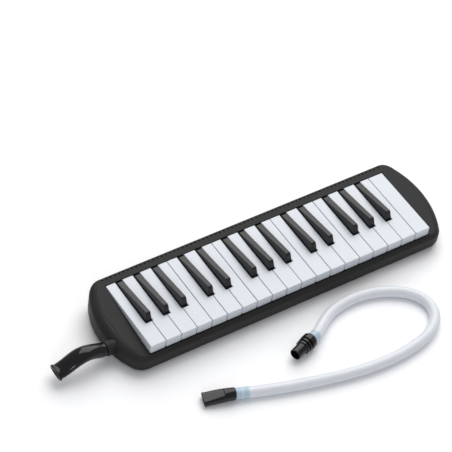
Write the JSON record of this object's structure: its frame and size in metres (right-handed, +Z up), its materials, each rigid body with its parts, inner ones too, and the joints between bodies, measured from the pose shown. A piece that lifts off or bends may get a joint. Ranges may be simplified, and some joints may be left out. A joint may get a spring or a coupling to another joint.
{
  "type": "melodica",
  "caption": "Keyboard wind instrument: a slim round-ended case with piano keys over a reed chest, a bent short mouthpiece, and a loose blowing hose with its own plug and flat mouthpiece.",
  "frame": {"origin": "centre of the underside of the case, on the surface that it lies on", "axes": "+X along the keyboard towards the high notes, mouthpiece at -X; +Y away from the player; +Z up"},
  "size_m": [0.4879, 0.225, 0.0448],
  "materials": {
    "case_plastic": "fine matte grain, moulded",
    "white_plastic": "satin gloss, slightly cool white",
    "black_key_plastic": "satin",
    "gloss_black": "high gloss moulded",
    "hose_vinyl": "milky translucent soft vinyl",
    "inner_plastic": "plain moulded",
    "rubber": "matte",
    "felt": "pressed wool felt",
    "brass": "rolled sheet",
    "steel": "bright zinc and spring steel"
  },
  "bodies": {
    "case": {"upper_case": "case_plastic", "lower_case": "case_plastic", "case_screw_01": "steel", "case_screw_02": "steel", "case_screw_03": "steel", "case_screw_04": "steel", "chest_screw_01": "steel", "chest_screw_02": "steel", "key_stop_felt": "felt", "key_rail": "inner_plastic", "pivot_rod": "steel", "key_springs": "steel", "wind_chest": "inner_plastic", "chest_gasket": "rubber", "chest_cover": "inner_plastic", "reed_plate_low": "brass", "reed_plate_high": "brass", "mouthpiece_socket": "case_plastic", "air_duct": "inner_plastic", "drain_spring": "steel"},
    "white_key_01": {"white_key_01": "white_plastic"},
    "white_key_02": {"white_key_02": "white_plastic"},
    "white_key_03": {"white_key_03": "white_plastic"},
    "white_key_04": {"white_key_04": "white_plastic"},
    "white_key_05": {"white_key_05": "white_plastic"},
    "white_key_06": {"white_key_06": "white_plastic"},
    "white_key_07": {"white_key_07": "white_plastic"},
    "white_key_08": {"white_key_08": "white_plastic"},
    "white_key_09": {"white_key_09": "white_plastic"},
    "white_key_10": {"white_key_10": "white_plastic"},
    "white_key_11": {"white_key_11": "white_plastic"},
    "white_key_12": {"white_key_12": "white_plastic"},
    "white_key_13": {"white_key_13": "white_plastic"},
    "white_key_14": {"white_key_14": "white_plastic"},
    "white_key_15": {"white_key_15": "white_plastic"},
    "white_key_16": {"white_key_16": "white_plastic"},
    "white_key_17": {"white_key_17": "white_plastic"},
    "white_key_18": {"white_key_18": "white_plastic"},
    "white_key_19": {"white_key_19": "white_plastic"},
    "black_key_01": {"black_key_01": "black_key_plastic"},
    "black_key_02": {"black_key_02": "black_key_plastic"},
    "black_key_03": {"black_key_03": "black_key_plastic"},
    "black_key_04": {"black_key_04": "black_key_plastic"},
    "black_key_05": {"black_key_05": "black_key_plastic"},
    "black_key_06": {"black_key_06": "black_key_plastic"},
    "black_key_07": {"black_key_07": "black_key_plastic"},
    "black_key_08": {"black_key_08": "black_key_plastic"},
    "black_key_09": {"black_key_09": "black_key_plastic"},
    "black_key_10": {"black_key_10": "black_key_plastic"},
    "black_key_11": {"black_key_11": "black_key_plastic"},
    "black_key_12": {"black_key_12": "black_key_plastic"},
    "black_key_13": {"black_key_13": "black_key_plastic"},
    "seal_ring": {"mouthpiece_seal": "rubber"},
    "mouthpiece": {"mouthpiece": "gloss_black"},
    "drain_valve": {"drain_button": "case_plastic", "drain_seal": "rubber"},
    "hose_set": {"hose_adapter": "gloss_black", "hose": "hose_vinyl", "hose_mouthpiece": "gloss_black"}
  },
  "joints": [
    {"name": "white_key_01_press", "type": "hinge", "parent": "case", "child": "white_key_01", "pos_m": [0, 0.035, 0.0204], "axis": [1, 0, 0], "range_deg": [0, 4], "stiffness_Nm_per_rad": 0.4, "springref_deg": -5.73, "deforming": ["key_springs"]},
    {"name": "white_key_02_press", "type": "hinge", "parent": "case", "child": "white_key_02", "pos_m": [0, 0.035, 0.0204], "axis": [1, 0, 0], "range_deg": [0, 4], "stiffness_Nm_per_rad": 0.4, "springref_deg": -5.73, "deforming": ["key_springs"]},
    {"name": "white_key_03_press", "type": "hinge", "parent": "case", "child": "white_key_03", "pos_m": [0, 0.035, 0.0204], "axis": [1, 0, 0], "range_deg": [0, 4], "stiffness_Nm_per_rad": 0.4, "springref_deg": -5.73, "deforming": ["key_springs"]},
    {"name": "white_key_04_press", "type": "hinge", "parent": "case", "child": "white_key_04", "pos_m": [0, 0.035, 0.0204], "axis": [1, 0, 0], "range_deg": [0, 4], "stiffness_Nm_per_rad": 0.4, "springref_deg": -5.73, "deforming": ["key_springs"]},
    {"name": "white_key_05_press", "type": "hinge", "parent": "case", "child": "white_key_05", "pos_m": [0, 0.035, 0.0204], "axis": [1, 0, 0], "range_deg": [0, 4], "stiffness_Nm_per_rad": 0.4, "springref_deg": -5.73, "deforming": ["key_springs"]},
    {"name": "white_key_06_press", "type": "hinge", "parent": "case", "child": "white_key_06", "pos_m": [0, 0.035, 0.0204], "axis": [1, 0, 0], "range_deg": [0, 4], "stiffness_Nm_per_rad": 0.4, "springref_deg": -5.73, "deforming": ["key_springs"]},
    {"name": "white_key_07_press", "type": "hinge", "parent": "case", "child": "white_key_07", "pos_m": [0, 0.035, 0.0204], "axis": [1, 0, 0], "range_deg": [0, 4], "stiffness_Nm_per_rad": 0.4, "springref_deg": -5.73, "deforming": ["key_springs"]},
    {"name": "white_key_08_press", "type": "hinge", "parent": "case", "child": "white_key_08", "pos_m": [0, 0.035, 0.0204], "axis": [1, 0, 0], "range_deg": [0, 4], "stiffness_Nm_per_rad": 0.4, "springref_deg": -5.73, "deforming": ["key_springs"]},
    {"name": "white_key_09_press", "type": "hinge", "parent": "case", "child": "white_key_09", "pos_m": [0, 0.035, 0.0204], "axis": [1, 0, 0], "range_deg": [0, 4], "stiffness_Nm_per_rad": 0.4, "springref_deg": -5.73, "deforming": ["key_springs"]},
    {"name": "white_key_10_press", "type": "hinge", "parent": "case", "child": "white_key_10", "pos_m": [0, 0.035, 0.0204], "axis": [1, 0, 0], "range_deg": [0, 4], "stiffness_Nm_per_rad": 0.4, "springref_deg": -5.73, "deforming": ["key_springs"]},
    {"name": "white_key_11_press", "type": "hinge", "parent": "case", "child": "white_key_11", "pos_m": [0, 0.035, 0.0204], "axis": [1, 0, 0], "range_deg": [0, 4], "stiffness_Nm_per_rad": 0.4, "springref_deg": -5.73, "deforming": ["key_springs"]},
    {"name": "white_key_12_press", "type": "hinge", "parent": "case", "child": "white_key_12", "pos_m": [0, 0.035, 0.0204], "axis": [1, 0, 0], "range_deg": [0, 4], "stiffness_Nm_per_rad": 0.4, "springref_deg": -5.73, "deforming": ["key_springs"]},
    {"name": "white_key_13_press", "type": "hinge", "parent": "case", "child": "white_key_13", "pos_m": [0, 0.035, 0.0204], "axis": [1, 0, 0], "range_deg": [0, 4], "stiffness_Nm_per_rad": 0.4, "springref_deg": -5.73, "deforming": ["key_springs"]},
    {"name": "white_key_14_press", "type": "hinge", "parent": "case", "child": "white_key_14", "pos_m": [0, 0.035, 0.0204], "axis": [1, 0, 0], "range_deg": [0, 4], "stiffness_Nm_per_rad": 0.4, "springref_deg": -5.73, "deforming": ["key_springs"]},
    {"name": "white_key_15_press", "type": "hinge", "parent": "case", "child": "white_key_15", "pos_m": [0, 0.035, 0.0204], "axis": [1, 0, 0], "range_deg": [0, 4], "stiffness_Nm_per_rad": 0.4, "springref_deg": -5.73, "deforming": ["key_springs"]},
    {"name": "white_key_16_press", "type": "hinge", "parent": "case", "child": "white_key_16", "pos_m": [0, 0.035, 0.0204], "axis": [1, 0, 0], "range_deg": [0, 4], "stiffness_Nm_per_rad": 0.4, "springref_deg": -5.73, "deforming": ["key_springs"]},
    {"name": "white_key_17_press", "type": "hinge", "parent": "case", "child": "white_key_17", "pos_m": [0, 0.035, 0.0204], "axis": [1, 0, 0], "range_deg": [0, 4], "stiffness_Nm_per_rad": 0.4, "springref_deg": -5.73, "deforming": ["key_springs"]},
    {"name": "white_key_18_press", "type": "hinge", "parent": "case", "child": "white_key_18", "pos_m": [0, 0.035, 0.0204], "axis": [1, 0, 0], "range_deg": [0, 4], "stiffness_Nm_per_rad": 0.4, "springref_deg": -5.73, "deforming": ["key_springs"]},
    {"name": "white_key_19_press", "type": "hinge", "parent": "case", "child": "white_key_19", "pos_m": [0, 0.035, 0.0204], "axis": [1, 0, 0], "range_deg": [0, 4], "stiffness_Nm_per_rad": 0.4, "springref_deg": -5.73, "deforming": ["key_springs"]},
    {"name": "black_key_01_press", "type": "hinge", "parent": "case", "child": "black_key_01", "pos_m": [0, 0.035, 0.0204], "axis": [1, 0, 0], "range_deg": [0, 4], "stiffness_Nm_per_rad": 0.4, "springref_deg": -5.73, "deforming": ["key_springs"]},
    {"name": "black_key_02_press", "type": "hinge", "parent": "case", "child": "black_key_02", "pos_m": [0, 0.035, 0.0204], "axis": [1, 0, 0], "range_deg": [0, 4], "stiffness_Nm_per_rad": 0.4, "springref_deg": -5.73, "deforming": ["key_springs"]},
    {"name": "black_key_03_press", "type": "hinge", "parent": "case", "child": "black_key_03", "pos_m": [0, 0.035, 0.0204], "axis": [1, 0, 0], "range_deg": [0, 4], "stiffness_Nm_per_rad": 0.4, "springref_deg": -5.73, "deforming": ["key_springs"]},
    {"name": "black_key_04_press", "type": "hinge", "parent": "case", "child": "black_key_04", "pos_m": [0, 0.035, 0.0204], "axis": [1, 0, 0], "range_deg": [0, 4], "stiffness_Nm_per_rad": 0.4, "springref_deg": -5.73, "deforming": ["key_springs"]},
    {"name": "black_key_05_press", "type": "hinge", "parent": "case", "child": "black_key_05", "pos_m": [0, 0.035, 0.0204], "axis": [1, 0, 0], "range_deg": [0, 4], "stiffness_Nm_per_rad": 0.4, "springref_deg": -5.73, "deforming": ["key_springs"]},
    {"name": "black_key_06_press", "type": "hinge", "parent": "case", "child": "black_key_06", "pos_m": [0, 0.035, 0.0204], "axis": [1, 0, 0], "range_deg": [0, 4], "stiffness_Nm_per_rad": 0.4, "springref_deg": -5.73, "deforming": ["key_springs"]},
    {"name": "black_key_07_press", "type": "hinge", "parent": "case", "child": "black_key_07", "pos_m": [0, 0.035, 0.0204], "axis": [1, 0, 0], "range_deg": [0, 4], "stiffness_Nm_per_rad": 0.4, "springref_deg": -5.73, "deforming": ["key_springs"]},
    {"name": "black_key_08_press", "type": "hinge", "parent": "case", "child": "black_key_08", "pos_m": [0, 0.035, 0.0204], "axis": [1, 0, 0], "range_deg": [0, 4], "stiffness_Nm_per_rad": 0.4, "springref_deg": -5.73, "deforming": ["key_springs"]},
    {"name": "black_key_09_press", "type": "hinge", "parent": "case", "child": "black_key_09", "pos_m": [0, 0.035, 0.0204], "axis": [1, 0, 0], "range_deg": [0, 4], "stiffness_Nm_per_rad": 0.4, "springref_deg": -5.73, "deforming": ["key_springs"]},
    {"name": "black_key_10_press", "type": "hinge", "parent": "case", "child": "black_key_10", "pos_m": [0, 0.035, 0.0204], "axis": [1, 0, 0], "range_deg": [0, 4], "stiffness_Nm_per_rad": 0.4, "springref_deg": -5.73, "deforming": ["key_springs"]},
    {"name": "black_key_11_press", "type": "hinge", "parent": "case", "child": "black_key_11", "pos_m": [0, 0.035, 0.0204], "axis": [1, 0, 0], "range_deg": [0, 4], "stiffness_Nm_per_rad": 0.4, "springref_deg": -5.73, "deforming": ["key_springs"]},
    {"name": "black_key_12_press", "type": "hinge", "parent": "case", "child": "black_key_12", "pos_m": [0, 0.035, 0.0204], "axis": [1, 0, 0], "range_deg": [0, 4], "stiffness_Nm_per_rad": 0.4, "springref_deg": -5.73, "deforming": ["key_springs"]},
    {"name": "black_key_13_press", "type": "hinge", "parent": "case", "child": "black_key_13", "pos_m": [0, 0.035, 0.0204], "axis": [1, 0, 0], "range_deg": [0, 4], "stiffness_Nm_per_rad": 0.4, "springref_deg": -5.73, "deforming": ["key_springs"]},
    {"name": "mouthpiece_pull", "type": "slide", "parent": "case", "child": "seal_ring", "axis": [-1, 0, 0], "range_m": [0, 0.04]},
    {"name": "mouthpiece_turn", "type": "hinge", "parent": "seal_ring", "child": "mouthpiece", "pos_m": [-0.2163, -0.01765, 0.0172], "axis": [1, 0, 0], "continuous": true},
    {"name": "drain_press", "type": "slide", "parent": "case", "child": "drain_valve", "axis": [-1, 0, 0], "range_m": [0, 0.0025], "stiffness_N_per_m": 600, "springref_m": -0.002, "deforming": ["drain_spring"]},
    {"name": "hose_set_lift", "type": "slide", "parent": "case", "child": "hose_set", "axis": [0, 0, 1], "range_m": [0, 0.1]}
  ]
}
